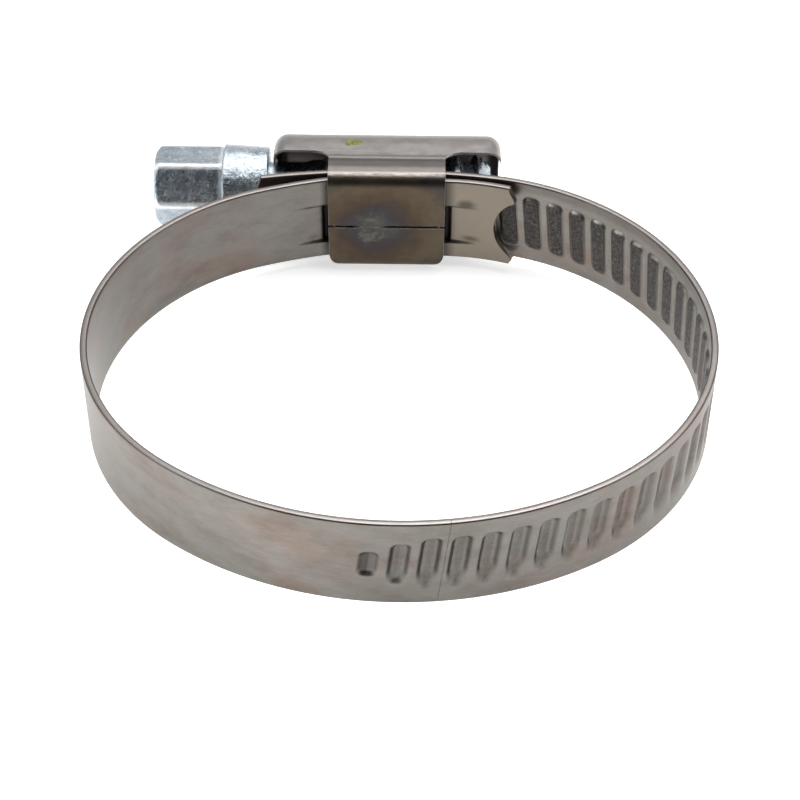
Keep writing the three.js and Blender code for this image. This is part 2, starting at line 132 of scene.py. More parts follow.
# The two weld marks on the housing's seam: (x, z, how bright).
WELDS = ((-1.6, 0.65, 0.25), (-1.5, -1.35, 0.8))
WELD_HALF_SIZE = (1.6, 0.9)
PAINT_PLACE = (-3.4, SCREW_Y + 0.3)  # the dab of paint on the dome, as (x, y)
PAINT_HALF_SIZE = (0.95, 0.75)

# The housing gives the place of these coordinates in the row frame.
housing_low, housing_high = (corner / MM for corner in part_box("housing"))
ORIGIN = np.array(
    [
        (housing_low.x + housing_high.x) / 2,
        housing_low.y + SHEET + FACE_CLEARANCE + HALF,
        (housing_low.z + housing_high.z) / 2,
    ]
)


def smooth(t):
    """A smooth step from 0 to 1 as t goes from 0 to 1."""
    t = np.clip(t, 0, 1)
    return t * t * (3 - 2 * t)


# ------------------------------------------------------------------ meshes
def linked(name, data):
    """A new object in the scene with this mesh, camera or light."""
    made = bpy.data.objects.new(name, data)
    scene.collection.objects.link(made)
    return made


def grid_piece(name, points, attributes):
    """A capped tube from a grid of points, [columns, rows, 3], whose rows close on themselves."""
    columns, rows, _ = points.shape
    i, j = np.meshgrid(np.arange(columns - 1), np.arange(rows), indexing="ij")
    k = (j + 1) % rows
    corners = [i * rows + j, (i + 1) * rows + j, (i + 1) * rows + k, i * rows + k]
    faces = np.stack(corners, -1).reshape(-1, 4).tolist()
    faces.append(list(range(rows)))
    faces.append([(columns - 1) * rows + r for r in reversed(range(rows))])
    mesh = bpy.data.meshes.new(name)
    mesh.from_pydata(((points.reshape(-1, 3) + ORIGIN) * MM).tolist(), [], faces)
    for key, values in attributes.items():
        values = np.asarray(values, np.float32)
        kind, field = ("FLOAT_VECTOR", "vector") if values.ndim == 3 else ("FLOAT", "value")
        mesh.attributes.new(key, kind, "POINT").data.foreach_set(field, values.ravel())
    bm = bmesh.new()
    bm.from_mesh(mesh)
    bmesh.ops.recalc_face_normals(bm, faces=bm.faces)
    for face in bm.faces:
        face.smooth = len(face.verts) == 4
    for edge in bm.edges:
        edge.smooth = all(len(face.verts) == 4 for face in edge.link_faces)
    bm.to_mesh(mesh)
    bm.free()
    return linked(name, mesh)


def finish_piece(piece, material, replaced=()):
    """Gives a piece its material and hides the CAD nodes that it replaces."""
    piece.data.materials.append(material)
    for node_name in replaced:
        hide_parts(node_name)


def applied(piece):
    """Bakes a piece's modifiers into its mesh."""
    evaluated = piece.evaluated_get(bpy.context.evaluated_depsgraph_get())
    mesh = bpy.data.meshes.new_from_object(evaluated)
    piece.modifiers.clear()
    piece.data = mesh


# ------------------------------------------------------------------ material helpers
def new_material(name):
    material = bpy.data.materials.new(name)
    material.use_nodes = True
    tree = material.node_tree
    return material, tree, tree.nodes["Principled BSDF"]


def node(tree, kind, **values):
    """A new node; each value is set on the input of that name, or else on the node."""
    made = tree.nodes.new(kind)
    for key, value in values.items():
        if key in made.inputs:
            made.inputs[key].default_value = value
        else:
            setattr(made, key, value)
    return made


def attribute(tree, name, output="Fac"):
    return node(tree, "ShaderNodeAttribute", attribute_name=name).outputs[output]


def math_node(tree, operation, a, b=None, clamp=False):
    """An operation on one or two values, each a plain number or an output."""
    made = tree.nodes.new("ShaderNodeMath")
    made.operation = operation
    made.use_clamp = clamp
    for socket, value in zip(made.inputs, (a, b)):
        if isinstance(value, (int, float)):
            socket.default_value = value
        elif value is not None:
            tree.links.new(value, socket)
    return made.outputs[0]


def length_of(tree, a, b):
    """The length of the vector (a, b)."""
    squares = [math_node(tree, "MULTIPLY", side, side) for side in (a, b)]
    return math_node(tree, "SQRT", math_node(tree, "ADD", *squares))


def distance_from(tree, places, centre, half_size):
    """Distance of a place from a centre, as a share of an ellipse's half sizes."""
    shares = []
    for place, middle, half in zip(places, centre, half_size):
        offset = math_node(tree, "SUBTRACT", place, middle)
        shares.append(math_node(tree, "DIVIDE", offset, half))
    return length_of(tree, *shares)


def noise(tree, vector, scale, detail=3.0, roughness=0.55, stretch=(1, 1, 1)):
    """Noise over a vector in millimetres, about one feature per 1/scale mm."""
    mapping = node(tree, "ShaderNodeMapping")
    mapping.inputs["Scale"].default_value = stretch
    tree.links.new(vector, mapping.inputs["Vector"])
    made = node(tree, "ShaderNodeTexNoise", Scale=scale, Detail=detail, Roughness=roughness)
    tree.links.new(mapping.outputs[0], made.inputs["Vector"])
    return made.outputs[0]


def centred_noise(tree, vector, scale, amount, *details):
    """Noise about zero, with this amount from its lowest to its highest possible value."""
    centred = math_node(tree, "SUBTRACT", noise(tree, vector, scale, *details), 0.5)
    return math_node(tree, "MULTIPLY", centred, amount)


def ramp(tree, value, *stops):
    """A colour that follows a value, from (value, colour) stops."""
    made = tree.nodes.new("ShaderNodeValToRGB")
    elements = made.color_ramp.elements
    while len(elements) < len(stops):
        elements.new(0.5)
    for element, (place, colour) in zip(elements, stops):
        element.position = place
        element.color = (*colour, 1)
    tree.links.new(value, made.inputs[0])
    return made.outputs[0]


def grey(level):
    return (level, level, level)


def mix(tree, factor, a, b, blend="MIX"):
    """Goes from a to b as the factor goes from 0 to 1."""
    made = tree.nodes.new("ShaderNodeMix")
    made.data_type = "RGBA"
    made.blend_type = blend
    colour_inputs = [socket for socket in made.inputs if socket.type == "RGBA"]
    for socket, value in zip((made.inputs[0], *colour_inputs), (factor, a, b)):
        if isinstance(value, (int, float)):
            socket.default_value = value
        elif isinstance(value, tuple):
            socket.default_value = (*value, 1)
        else:
            tree.links.new(value, socket)
    return next(socket for socket in made.outputs if socket.type == "RGBA")


def bump(tree, height, strength, distance, normal=None):
    made = node(tree, "ShaderNodeBump", Strength=strength, Distance=distance)
    tree.links.new(height, made.inputs["Height"])
    if normal is not None:
        tree.links.new(normal, made.inputs["Normal"])
    return made.outputs[0]


def place_in_mm(tree):
    """The surface point in millimetres, in the housing's coordinates."""
    coordinate = node(tree, "ShaderNodeTexCoord").outputs["Object"]
    mapping = node(tree, "ShaderNodeMapping")
    mapping.inputs["Scale"].default_value = (1 / MM,) * 3
    mapping.inputs["Location"].default_value = tuple(-ORIGIN)
    tree.links.new(coordinate, mapping.inputs["Vector"])
    return mapping.outputs[0]


# ------------------------------------------------------------------ materials
def band_steel():
    """Rolled stainless strip: satin with a grain along it, dull pressings, a painted highlight on
    its slit edges and ridge flanks, and painted shade.
    """
    material, tree, shader = new_material("rolled_stainless_strip")
    along = attribute(tree, "along", "Vector")
    grain = noise(tree, along, 6, 4, 0.6, (0.12, 4, 4))
    mottle = noise(tree, along, 0.5, 5, 0.68, (0.45, 1, 1))
    stain = noise(tree, along, 0.17, 4, 0.6, (0.6, 1, 1))
    speckle = noise(tree, along, 3.2, 4, 0.7)
    pressed = attribute(tree, "pressed")

    body = ramp(
        tree,
        mottle,
        (0.3, (0.195, 0.172, 0.152)),
        (0.5, (0.262, 0.24, 0.218)),
        (0.7, (0.31, 0.292, 0.272)),
    )
    stained = ramp(
        tree,
        stain,
        (0.36, (0.93, 1.0, 0.95)),
        (0.5, (1, 1, 1)),
        (0.64, (1.0, 0.88, 0.82)),
    )
    body = mix(tree, 1.0, body, stained, "MULTIPLY")
    grain_share = ramp(tree, grain, (0.35, grey(0.0)), (0.75, grey(0.55)))
    body = mix(tree, grain_share, body, (0.165, 0.146, 0.133))
    dull = ramp(
        tree,
        speckle,
        (0.42, (0.05, 0.046, 0.045)),
        (0.62, (0.13, 0.122, 0.115)),
        (0.78, (0.36, 0.345, 0.325)),
    )
    body = mix(tree, pressed, body, dull)
    body = mix(tree, attribute(tree, "warm"), body, (0.235, 0.203, 0.157))
    # edge is a painted highlight; shade is painted shade.
    body = mix(tree, attribute(tree, "edge"), body, (0.31, 0.28, 0.268))
    body = mix(tree, attribute(tree, "shade"), body, (0.02, 0.018, 0.02))
    tree.links.new(body, shader.inputs["Base Color"])

    rough = ramp(tree, mottle, (0.3, grey(0.34)), (0.75, grey(0.46)))
    rough = mix(tree, pressed, rough, grey(0.62))
    tree.links.new(rough, shader.inputs["Roughness"])
    normal = bump(tree, grain, 0.25, 0.02 * MM)
    normal = bump(tree, mottle, 0.18, 0.12 * MM, normal)
    rough_top = math_node(tree, "MULTIPLY", speckle, pressed)
    normal = bump(tree, rough_top, 0.9, 0.22 * MM, normal)
    tree.links.new(normal, shader.inputs["Normal"])
    shader.inputs["Metallic"].default_value = 1
    return material


def weld_marks(tree, x, z, ragged):
    """0 to 1: how strongly the welds mark the surface."""
    marks = []
    for centre_x, centre_z, bright in WELDS:
        reach = distance_from(tree, (x, z), (centre_x, centre_z), WELD_HALF_SIZE)
        reach = math_node(tree, "ADD", reach, ragged)
        mark = math_node(tree, "SUBTRACT", 1.0, reach, clamp=True)
        marks.append(math_node(tree, "MULTIPLY", mark, bright))
    return math_node(tree, "MAXIMUM", *marks)


def heat_tint(tree, x, z, wobble):
    """The flaps' colour, which follows the distance from the welds."""
    reach = distance_from(tree, (x, z), (-1.0, -0.4), (8.75, 7.0))
    reach = math_node(tree, "ADD", reach, math_node(tree, "DIVIDE", wobble, 7.0))
    return ramp(
        tree,
        reach,
        (0.05, (0.066, 0.064, 0.058)),
        (0.24, (0.048, 0.045, 0.046)),
        (0.36, (0.05, 0.04, 0.037)),
        (0.52, (0.072, 0.052, 0.036)),
        (0.72, (0.09, 0.072, 0.05)),
        (0.95, (0.058, 0.05, 0.045)),
    )


def paint_dab(tree, x, y, z, wobble):
    """1 on the dab of inspection paint on the dome's upper side, and 0 elsewhere."""
    reach = distance_from(tree, (x, y), PAINT_PLACE, PAINT_HALF_SIZE)
    reach = math_node(tree, "ADD", reach, math_node(tree, "MULTIPLY", wobble, 0.35))
    near = math_node(tree, "LESS_THAN", reach, 0.8)
    above = math_node(tree, "GREATER_THAN", z, 4)
    return math_node(tree, "MULTIPLY", near, above)


def housing_steel():
    """Bent stainless sheet: satin dome, a painted highlight on the folds, painted shade on the side
    wall's top, and heat tint round the welds.
    """
    material, tree, shader = new_material("bent_stainless_sheet")
    here = place_in_mm(tree)
    sheet = attribute(tree, "along", "Vector")
    fold = attribute(tree, "fold")
    split = node(tree, "ShaderNodeSeparateXYZ")
    tree.links.new(here, split.inputs[0])
    x, y, z = split.outputs
    grain = noise(tree, sheet, 5, 4, 0.65, (0.15, 3, 3))
    mottle = noise(tree, here, 0.8, 4, 0.6)
    wobble = centred_noise(tree, here, 0.7, 3.2)
    ragged = centred_noise(tree, here, 1.8, 1.6, 4, 0.65)

    body = ramp(tree, mottle, (0.3, (0.30, 0.282, 0.272)), (0.7, (0.385, 0.365, 0.355)))
    grain_share = ramp(tree, grain, (0.4, grey(0)), (0.8, grey(0.3)))
    body = mix(tree, grain_share, body, (0.20, 0.187, 0.178))

    flap = math_node(tree, "LESS_THAN", y, -HALF)
    body = mix(tree, flap, body, heat_tint(tree, x, z, wobble))
    weld = math_node(tree, "MULTIPLY", weld_marks(tree, x, z, ragged), flap)
    weld_share = ramp(tree, weld, (0.02, grey(0)), (0.3, grey(0.8)))
    scale = noise(tree, here, 2.6, 4)
    weld_colour = ramp(tree, scale, (0.35, (0.05, 0.048, 0.042)), (0.65, (0.13, 0.127, 0.108)))
    body = mix(tree, weld_share, body, weld_colour)

    # Painted shade on the side wall's upward-facing top, down to the dome's brightness.
    body = mix(tree, attribute(tree, "wall"), body, (0.15, 0.138, 0.13))
    # Painted highlight along the folds, broken up by noise.
    highlight_breakup = noise(tree, sheet, 1.6, 5, 0.7, (0.5, 1, 1))
    fold_highlight = math_node(tree, "MULTIPLY", fold, ramp(tree, highlight_breakup, (0.38, grey(0.3)), (0.58, grey(1))))
    body = mix(tree, fold_highlight, body, (0.31, 0.28, 0.262))

    paint = paint_dab(tree, x, y, z, wobble)
    blotch = noise(tree, here, 3)
    paint_colour = ramp(tree, blotch, (0.35, (0.10, 0.095, 0.015)), (0.65, (0.26, 0.25, 0.06)))
    body = mix(tree, paint, body, paint_colour)
    tree.links.new(body, shader.inputs["Base Color"])
    tree.links.new(math_node(tree, "SUBTRACT", 1.0, paint), shader.inputs["Metallic"])

    rough = ramp(tree, mottle, (0.3, grey(0.36)), (0.75, grey(0.5)))
    rough = mix(tree, fold, rough, grey(0.42))
    tree.links.new(rough, shader.inputs["Roughness"])
    normal = bump(tree, grain, 0.3, 0.03 * MM)
    normal = bump(tree, noise(tree, here, 1.3, 3), 0.12, 0.15 * MM, normal)
    normal = bump(tree, weld, 0.6, 0.25 * MM, normal)
    tree.links.new(normal, shader.inputs["Normal"])
    return material


def zinc_plating():
    """Bright zinc with a blue cast, soft dents, dark specks, and light edges that are partly wear
    and partly a painted highlight.
    """
    material, tree, shader = new_material("bright_zinc_plating")
    here = place_in_mm(tree)
    # Light hexagon corners and end: partly wear, partly a painted highlight.
    wear_and_highlight = attribute(tree, "edge")
    cloud = noise(tree, here, 0.7, 4, 0.6)
    specks = noise(tree, here, 3.2, 3, 0.6)
    body = ramp(tree, cloud, (0.3, (0.34, 0.39, 0.46)), (0.7, (0.53, 0.60, 0.63)))
    speck_share = ramp(tree, specks, (0.62, grey(0)), (0.72, grey(0.85)))
    body = mix(tree, speck_share, body, (0.12, 0.14, 0.19))
    body = mix(tree, wear_and_highlight, body, (0.92, 0.95, 0.96))
    tree.links.new(body, shader.inputs["Base Color"])
    rough = ramp(tree, noise(tree, here, 1.6, 5, 0.7), (0.3, grey(0.16)), (0.7, grey(0.34)))
    rough = mix(tree, wear_and_highlight, rough, grey(0.55))
    tree.links.new(rough, shader.inputs["Roughness"])
    normal = bump(tree, noise(tree, here, 1.3, 5, 0.72), 0.6, 0.26 * MM)
    normal = bump(tree, noise(tree, here, 5.5, 3, 0.6), 0.18, 0.06 * MM, normal)
    tree.links.new(normal, shader.inputs["Normal"])
    shader.inputs["Metallic"].default_value = 1
    return material


def rim_steel():
    """The sheet's sheared and rounded edges: brighter than its faces, partly as bare sheared metal
    and partly as a painted highlight, with drag marks across them.
    """
    material, tree, shader = new_material("sheared_steel_edge")
    drag = noise(tree, place_in_mm(tree), 6, 3, 0.6)
    body = ramp(tree, drag, (0.3, (0.30, 0.27, 0.26)), (0.7, (0.55, 0.51, 0.49)))
    tree.links.new(body, shader.inputs["Base Color"])
    rough = ramp(tree, drag, (0.3, grey(0.3)), (0.7, grey(0.45)))
    tree.links.new(rough, shader.inputs["Roughness"])
    tree.links.new(bump(tree, drag, 0.3, 0.04 * MM), shader.inputs["Normal"])
    shader.inputs["Metallic"].default_value = 0.5
    return material


# ------------------------------------------------------------------ the band's path
class BandPath:
    """Stretches of constant curvature that turn left, from the anchor end to the free end."""

    def __init__(self):
        tail_turn = ANCHOR_TAIL / ANCHOR_TAIL_RADIUS
        tip_x = ANCHOR_HALF_LENGTH + ANCHOR_TAIL_RADIUS * math.sin(tail_turn)
        tip_y = -ANCHOR_TAIL_RADIUS * (1 - math.cos(tail_turn))
        here = (tip_x, tip_y, math.pi - tail_turn, 0.0)
        self.rows = []
        for length, curvature in (
            (ANCHOR_TAIL, 1 / ANCHOR_TAIL_RADIUS),
            (2 * ANCHOR_HALF_LENGTH, 0),
            (BEND_RADIUS * BEND_TURN, 1 / BEND_RADIUS),
            (SLACK_LENGTH, 1 / SLACK_RADIUS),
            (LEFT_RADIUS * LEFT_TURN, 1 / LEFT_RADIUS),
        ):
            here = self.add(here, length, curvature)
        turned = BEND_TURN + SLACK_LENGTH / SLACK_RADIUS + LEFT_TURN
        front = np.array(here[:2]) + FRONT_RADIUS * np.array([math.sin(turned), -math.cos(turned)])
        # The right-hand radius is the one that joins the front's arc and the track's smoothly.
        track = np.array([0, TRACK_LIFT - TRACK_RADIUS])
        track_turn = math.asin(TRACK_RIGHT_X / TRACK_RADIUS)
        outward = np.array([math.sin(track_turn), math.cos(track_turn)])
        between = front - track
        reach = between @ outward
        right_radius = (
            FRONT_RADIUS**2 - TRACK_RADIUS**2 - between @ between + 2 * TRACK_RADIUS * reach
        ) / (2 * (reach - TRACK_RADIUS + FRONT_RADIUS))
        to_right = track + outward * (TRACK_RADIUS - right_radius) - front
        right_end = math.atan2(to_right[0], to_right[1])
        free_turn = math.asin(-TRACK_LEFT_X / TRACK_RADIUS)
        front_turn = 2 * math.pi - turned - right_end
        here = self.add(here, FRONT_RADIUS * front_turn, 1 / FRONT_RADIUS)
        here = self.add(here, right_radius * (right_end - track_turn), 1 / right_radius)
        here = self.add(here, TRACK_RADIUS * (track_turn + free_turn), 1 / TRACK_RADIUS)
        self.length = here[3]
        self.middle = self.length - TRACK_RADIUS * free_turn
        self.table = np.array(self.rows)

    def add(self, here, length, curvature):
        """Adds a stretch at (x, y, heading, distance along) and gives the place of its end."""
        self.rows.append((*here, curvature))
        x, y, heading = self.advance(*here[:3], curvature, length)
        return float(x), float(y), float(heading), here[3] + length

    @staticmethod
    def advance(x, y, heading, curvature, distance):
        turned = heading + curvature * distance
        mean = (heading + turned) / 2
        half = (turned - heading) / 2
        chord = distance * np.sinc(half / np.pi)
        return x + chord * np.cos(mean), y + chord * np.sin(mean), turned

    def at(self, s):
        """x, y and heading at distances s along the band."""
        s = np.asarray(s, float)
        index = np.searchsorted(self.table[:, 3], s, side="right") - 1
        index = np.clip(index, 0, len(self.table) - 1)
        x, y, heading, start, curvature = self.table[index].transpose(-1, *range(s.ndim))
        return self.advance(x, y, heading, curvature, s - start)

    def points(self, s, outward, z):
        """Places at distances s along the band, an offset outward from its middle, and z."""
        x, y, heading = self.at(s)
        z = np.broadcast_to(z, np.shape(x))
        return np.stack([x + outward * np.sin(heading), y - outward * np.cos(heading), z], -1)


path = BandPath()
anchor_middle = ANCHOR_TAIL + ANCHOR_HALF_LENGTH
first_tooth = path.middle - (TEETH - 1 - TEETH_PAST_MIDDLE) * PITCH
last_tooth = first_tooth + (TEETH - 1) * PITCH


# ------------------------------------------------------------------ the band's surface
def tooth_share(index):
    shares = np.ones(TEETH)
    shares[: len(FIRST_TOOTH_SHARES)] = FIRST_TOOTH_SHARES
    return shares[index]


def press(u, z, grow, slope):
    """How far the thread is pressed in, from 0 to 1, beside distance u along the band."""
    index = np.clip(np.round((u - first_tooth) / PITCH), 0, TEETH - 1).astype(int)
    share = tooth_share(index)
    across = u - (first_tooth + index * PITCH)
    half_width = TOOTH_WIDTH / 2 + grow
    straight = TOOTH_LENGTH * share / 2 + grow - half_width
    over = np.maximum(np.abs(z) - straight, 0)
    reach = (np.abs(across) ** SQUARENESS + over**SQUARENESS) ** (1 / SQUARENESS)
    return smooth((half_width - reach) / slope) * (0.3 + 0.7 * share)


def lean(u):
    """The thread leans by its lead angle; the lean fades out before both of its ends."""
    return smooth((u - first_tooth + 6) / 5) * smooth((last_tooth + 3 - u) / 2)


def lug(s, z):
    """Depth of the pressed lugs and of their slits, and painted shade in the slits, along the lugs'
    sides and on the strip beside the housing.
    """
    past = np.abs(s - anchor_middle) - WAIST_HALF_LENGTH
    off = np.abs(z - LUG_Z)
    inside = smooth((LUG_HALF_WIDTH - off) / LUG_EDGE + 0.5)
    slope = LUG_DEPTH * (1 - (past - LUG_SLIT) / LUG_LENGTH)
    on_slope = (past > LUG_SLIT * 0.8) & (past < LUG_SLIT + LUG_LENGTH)
    slit = smooth((LUG_SLIT - past) / SLIT_EDGE + 0.5) * smooth((past + 0.4) / SLIT_EDGE + 0.5)
    depth = np.where(on_slope, slope, 0) * (1 - slit) + slit * (THICKNESS - SLIT_FLOOR)

    # Painted shade along the lugs' sides and on the strip beside the housing; the slits are painted
    # dark too.
    side_shadow = smooth(1 - np.abs(off - LUG_HALF_WIDTH) / 0.55) * smooth(1 - past / 3)
    side_shadow = 0.55 * side_shadow * (past > 0)
    beside = 0.72 * smooth(1 - past / 1.7) * (past > -0.2)
    # Painted shade: dark spots by the lugs' sides.
    shade_spots = sum(
        weight * np.exp(-((s - anchor_middle + x) ** 2) - ((z - height) / spread) ** 2)
        for x, height, spread, weight in LUG_SHADE_SPOTS
    )
    dark = np.maximum.reduce([slit * inside, side_shadow, beside, np.minimum(shade_spots, 0.7)])
    return depth * inside, dark


def anchor_outline(z):
    """How far the strip's anchor end is cut back at each height: two tips and a round bite."""
    radius = (NOTCH_HALF_WIDTH**2 + NOTCH_DEPTH**2) / (2 * NOTCH_DEPTH)
    off = np.abs(z - NOTCH_Z)
    bite = np.sqrt(np.maximum(radius**2 - off**2, 0)) - (radius - NOTCH_DEPTH)
    chamfer = TIP_CHAMFER * (off - NOTCH_HALF_WIDTH) / (HALF_WIDTH - NOTCH_HALF_WIDTH)
    return np.where(off < NOTCH_HALF_WIDTH, bite, np.minimum(chamfer, TIP_CHAMFER))


def free_outline(z):
    """How far the free end is cut back at each height: a blunt round nose."""
    return FREE_END_ROUND * (z / HALF_WIDTH) ** 2


def section(rows):
    """Rows round the strip: (z, offset outward, face, bright, dark).

    face is 1 outside, -1 inside and 0 on an edge; bright is a painted highlight along the edge's
    middle and dark is painted shade at its corners.
    """
    inner = HALF_WIDTH - EDGE_ROUND
    near = EDGE_ROUND * 0.3
    flat = np.linspace(-inner, inner, rows)
    edge = [
        (HALF_WIDTH - near, HALF - near, 0, 0, 0.75),
        (HALF_WIDTH, HALF - EDGE_ROUND, 0, 0.6, 0),
        (HALF_WIDTH, 0, 0, 1, 0),
        (HALF_WIDTH, EDGE_ROUND - HALF, 0, 0.6, 0),
        (HALF_WIDTH - near, near - HALF, 0, 0, 0.75),
    ]
    loop = [(z, HALF, 1, 0, 0) for z in flat]
    loop += edge
    loop += [(z, -HALF, -1, 0, 0) for z in flat[::-1]]
    loop += [(-z, *rest) for z, *rest in reversed(edge)]
    return np.array(loop)


END_REACH = 4.0  # how far from an end the columns bend to follow its outline
FINE_STEP = 0.12
PLAIN_STEP = 0.35
FINE_ROWS = 62
PLAIN_ROWS = 26


def band_piece(name, start, end, step, rows):
    """The strip between two distances along it, with its looks as attributes."""
    columns = np.linspace(start, end, max(2, math.ceil((end - start) / step)) + 1)
    loop = section(rows)
    u, z = np.meshgrid(columns, loop[:, 0], indexing="ij")
    offset, face, bright, dark = (np.broadcast_to(loop[:, k], u.shape) for k in (1, 2, 3, 4))
    inside = face < 0
    outside = face > 0
    s = u + z * math.tan(LEAD) * lean(u)
    s = s + anchor_outline(z) * np.clip(1 - u / END_REACH, 0, 1)
    s = s - free_outline(z) * np.clip(1 - (path.length - u) / END_REACH, 0, 1)

    # The thread is grooves outside and flat-topped ridges inside; grooves run out softly below.
    low = smooth((-0.9 - z) / 1.7)
    top = press(u, z, 0.06, 0.1)
    ridge = press(u, z, 0.24, 0.22)
    groove = press(u, z + 0.1, 0.3, 0.6 + 0.55 * low)
    lug_depth, lug_dark = lug(s, z)
    offset = offset - np.where(outside, GROOVE_DEPTH * groove * (1 - 0.4 * low), 0)
    offset = offset + np.where(inside, lug_depth - RIDGE_HEIGHT * ridge, 0)

    # Outside, painted shade darkens the groove's walls, more so on the left and at the top, and the
    # whole toothed front a little.
    left = ((u - first_tooth) / PITCH + 0.5) % 1 < 0.5
    wall = 4 * groove * (1 - groove) * np.where(left, 0.72, 0.42)
    wall = wall * (1 - 0.65 * low) * (1 + 0.5 * smooth((z - 2) / 0.8))
    front_shade = 0.2 * smooth((s - first_tooth + 8) / 12) * smooth((150 - s) / 20)

    # Inside, painted shade darkens the whole face, more so on the left, under the upper edge, by
    # the lugs and on the ridges' left flanks.
    flank = np.where(inside, np.clip(ridge - top, 0, 1), 0)
    dusk = 0.16 + 0.2 * smooth((s - 14) / 8) * smooth((62 - s) / 25)
    under_edge = (0.18 + 0.22 * smooth((s - 100) / 20)) * smooth((z - 2.9) / 1.0)
    inside_shade = np.maximum.reduce([lug_dark, under_edge, dusk, flank * left * 0.55])
    shade = np.where(inside, inside_shade, np.where(outside, np.maximum(wall, front_shade), 0))
    pressed = np.where(inside, top * 0.9, np.where(outside, press(u, z, 0.0, 0.6) * 0.3, 0))
    tail = np.where(inside & (s < anchor_middle), smooth((anchor_middle - s) / 6), 0)
    # edge carries a painted highlight on the strip's edges and on the ridges' flanks, brightest on
    # their right; shade carries painted shade.
    looks = {
        "along": np.stack([s, z, offset], -1),
        "pressed": pressed,
        "edge": np.maximum(bright, flank * (0.15 + 0.6 * ~left)),
        "warm": tail * 0.85,
        "shade": np.maximum(dark, shade),
    }
    return grid_piece(name, path.points(s, offset, z), looks)


def joint_distance(name):
    """Distance along the band of a joint of the loop."""
    joint = next(j for j in frame["joints"] if j["name"] == name)
    x, y = (np.array(joint["pos_m"]) / MM - ORIGIN)[:2]
    s = np.linspace(ANCHOR_TAIL + 2 * ANCHOR_HALF_LENGTH, path.length, 20001)
    px, py, _ = path.at(s)
    return float(s[np.hypot(px - x, py - y).argmin()])


BLEND_REACH = 4.0  # each side of a joint
OPEN_GAP = 0.03  # where the loop is opened, at the front
LEFT_LINKS = ["left_rear", "left_side", "left_front", "front_plain"]
RIGHT_LINKS = ["front_toothed", "right_front", "right_side", "right_rear"]
REPLACED_NODES = (
    ["band_anchor_end"],
    ["band_left_rear"],
    ["band_left_side"],
    ["band_left_front", "band_front_plain"],
    ["band_front_toothed"],
    ["band_right_front"],
    ["band_right_side"],
    ["band_right_rear", "band_worm_track"],
)


def make_band(material):
    """Two chains of strip, each piece cut at the middles of the links on either side of one joint.
    """
    left = [joint_distance(name + "_flex") for name in LEFT_LINKS]
    right = [joint_distance(name + "_flex") for name in RIGHT_LINKS]
    teeth_before = math.floor(((left[-1] + right[0]) / 2 - first_tooth) / PITCH)
    front = first_tooth + (teeth_before + 0.5) * PITCH
    left_cuts = [(a + b) / 2 for a, b in zip(left, left[1:])]
    right_cuts = [(a + b) / 2 for a, b in zip(right, right[1:])]
    cuts = [0, *left_cuts, front, *right_cuts, path.length]
    last_left = len(left) - 1
    for i, joint in enumerate([*left, *right]):
        start, end = cuts[i], cuts[i + 1]
        if i == last_left:
            end -= OPEN_GAP / 2
        if i == last_left + 1:
            start += OPEN_GAP / 2
        plain = 0 < i < last_left
        step, rows = (PLAIN_STEP, PLAIN_ROWS) if plain else (FINE_STEP, FINE_ROWS)
        piece = band_piece(f"band_strip_{i + 1}", start, end, step, rows)
        finish_piece(piece, material, REPLACED_NODES[i])
        before, after = (
            Vector((path.points(np.array(joint + d), 0, 0) + ORIGIN) * MM)
            for d in (-BLEND_REACH, BLEND_REACH)
        )
        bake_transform(piece)


# ------------------------------------------------------------------ the housing
DOME_RADIUS = THREAD_RADIUS + DOME_CLEARANCE + SHEET
WALL = HALF_WIDTH + SIDE_CLEARANCE + SHEET
FLAP_Y = -HALF - FACE_CLEARANCE - SHEET
SHOULDER_Y = TRACK_LIFT + HALF + 0.25
FOLD_RADIUS = 1.2
SEAM_Z = -0.3
SEAM_GAP = 0.3
WELDED_GAP = 0.03
SEAM_RAGGED = 0.05
FILLET_RADIUS = 1.5
LEFT_LINE = SCREW_Y - 1.1
RIGHT_LINE = SCREW_Y - 1.2
CURL_RADIUS = 1.3
LEFT_LIP_RADIUS = NECK_RADIUS + 0.3
RIGHT_LIP_RADIUS = THREAD_RADIUS + 0.1
FOLD_CORNER = 1.9
RIM_ROUND = 0.14
WIDE = WAIST_HALF_LENGTH + FILLET_RADIUS
WAIST_COLUMNS = np.linspace(-1, 1, 41) * WIDE
DOME_ROWS = 34
WAIST_ROWS = 60
FLAP_STEPS = 13
ROW_SPACING = 0.3  # for the grain


def arc(cy, cz, radius, start, end, steps):
    angles = np.linspace(start, end, steps + 1)
    return [(cy + radius * math.cos(a), cz + radius * math.sin(a)) for a in angles]


def housing_side(sign):
    """Outside of the bent sheet on one side, as (y, z), from the dome's top to the seam."""
    points = arc(SCREW_Y, 0, DOME_RADIUS, 0, math.pi / 2, 24)
    points += [(SHOULDER_Y + 0.95, DOME_RADIUS), (SHOULDER_Y + 0.5, DOME_RADIUS + 0.2)]
    points += [(SHOULDER_Y + 0.1, WALL - 0.12), (SHOULDER_Y - 0.3, WALL)]
    fold_y, fold_z = FLAP_Y + FOLD_RADIUS, WALL - FOLD_RADIUS
    points += arc(fold_y, fold_z, FOLD_RADIUS, math.pi / 2, math.pi, 12)
    seam = sign * SEAM_Z + SEAM_GAP / 2
    points += [(FLAP_Y, z) for z in np.linspace(fold_z, seam, FLAP_STEPS + 1)[1:]]
    return np.array([(y, sign * z) for y, z in points])


def place_on(line, along, t):
    """Places (y, z) at distances t along a line, which has the distance along of each point."""
    return np.stack([np.interp(t, along, line[:, k]) for k in (0, 1)], -1)


